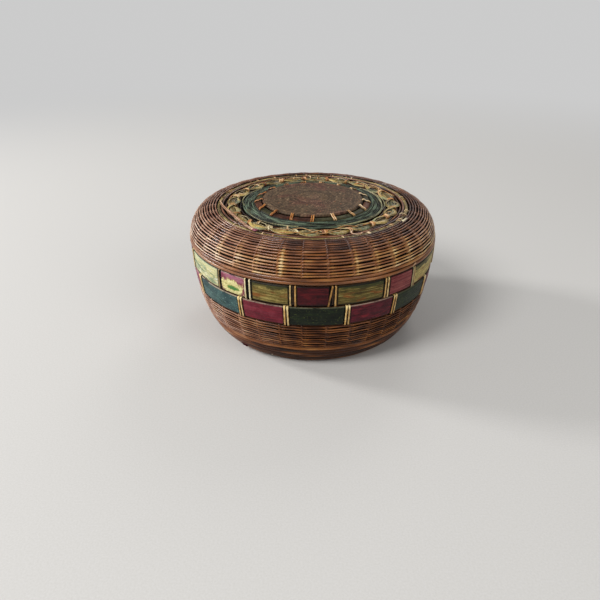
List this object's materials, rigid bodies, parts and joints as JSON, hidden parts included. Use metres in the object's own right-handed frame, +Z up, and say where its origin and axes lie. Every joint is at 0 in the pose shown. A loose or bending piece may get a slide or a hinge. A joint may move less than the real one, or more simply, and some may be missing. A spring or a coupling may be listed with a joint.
{
  "type": "lidded root basket",
  "caption": "Round woven basket with a domed lift-off lid, painted splint rim bands and an openwork crown; holds sewing things and other small goods.",
  "frame": {"origin": "on the table, under the centre of the foot ring", "axes": "+Z up through the crown of the lid; -Y is the front that the picture shows"},
  "size_m": [0.2011, 0.201, 0.1064],
  "materials": {
    "brown_weave": "waxy, worn",
    "dark_weave": "dull, finely woven",
    "pale_stake": "bare split cane, matt",
    "hoop_wood": "bare bent wood, matt",
    "painted_green": "old lacquer paint, satin, worn",
    "painted_maroon": "old lacquer paint, satin, worn",
    "painted_olive": "old lacquer paint, satin, worn",
    "golden_cane": "lacquered cane, glossy"
  },
  "bodies": {
    "base": {"base_floor": "brown_weave", "base_hoop": "hoop_wood", "base_lashing": "golden_cane", "base_panel_01_green": "painted_green", "base_panel_02_maroon": "painted_maroon", "base_panel_03_green": "painted_green", "base_panel_04_maroon": "painted_maroon", "base_panel_05_green": "painted_green", "base_panel_06_maroon": "painted_maroon", "base_panel_07_green": "painted_green", "base_panel_08_maroon": "painted_maroon", "base_panel_09_green": "painted_green", "base_panel_10_maroon": "painted_maroon", "base_panel_11_green": "painted_green", "base_panel_12_maroon": "painted_maroon", "base_panel_13_green": "painted_green", "base_panel_14_maroon": "painted_maroon", "base_stakes": "pale_stake", "base_weave": "brown_weave", "collar": "hoop_wood", "foot_ring": "brown_weave"},
    "lid": {"centre_disc": "dark_weave", "disc_border": "painted_maroon", "green_ring": "painted_green", "inner_coil": "brown_weave", "lid_hoop": "hoop_wood", "lid_lashing": "golden_cane", "lid_panel_01_olive": "painted_olive", "lid_panel_02_maroon": "painted_maroon", "lid_panel_03_olive": "painted_olive", "lid_panel_04_maroon": "painted_maroon", "lid_panel_05_olive": "painted_olive", "lid_panel_06_maroon": "painted_maroon", "lid_panel_07_olive": "painted_olive", "lid_panel_08_maroon": "painted_maroon", "lid_panel_09_olive": "painted_olive", "lid_panel_10_maroon": "painted_maroon", "lid_panel_11_olive": "painted_olive", "lid_panel_12_maroon": "painted_maroon", "lid_panel_13_olive": "painted_olive", "lid_panel_14_maroon": "painted_maroon", "lid_panel_15_olive": "painted_olive", "lid_panel_16_maroon": "painted_maroon", "lid_panel_17_olive": "painted_olive", "lid_panel_18_maroon": "painted_maroon", "lid_stakes": "pale_stake", "lid_weave": "brown_weave", "loose_splint": "golden_cane", "olive_ring": "painted_olive", "openwork_splint_a": "painted_olive", "openwork_splint_b": "painted_olive"}
  },
  "joints": [
    {"name": "lid_lift", "type": "slide", "parent": "base", "child": "lid", "axis": [0, 0, 1], "range_m": [0, 0.12]}
  ]
}
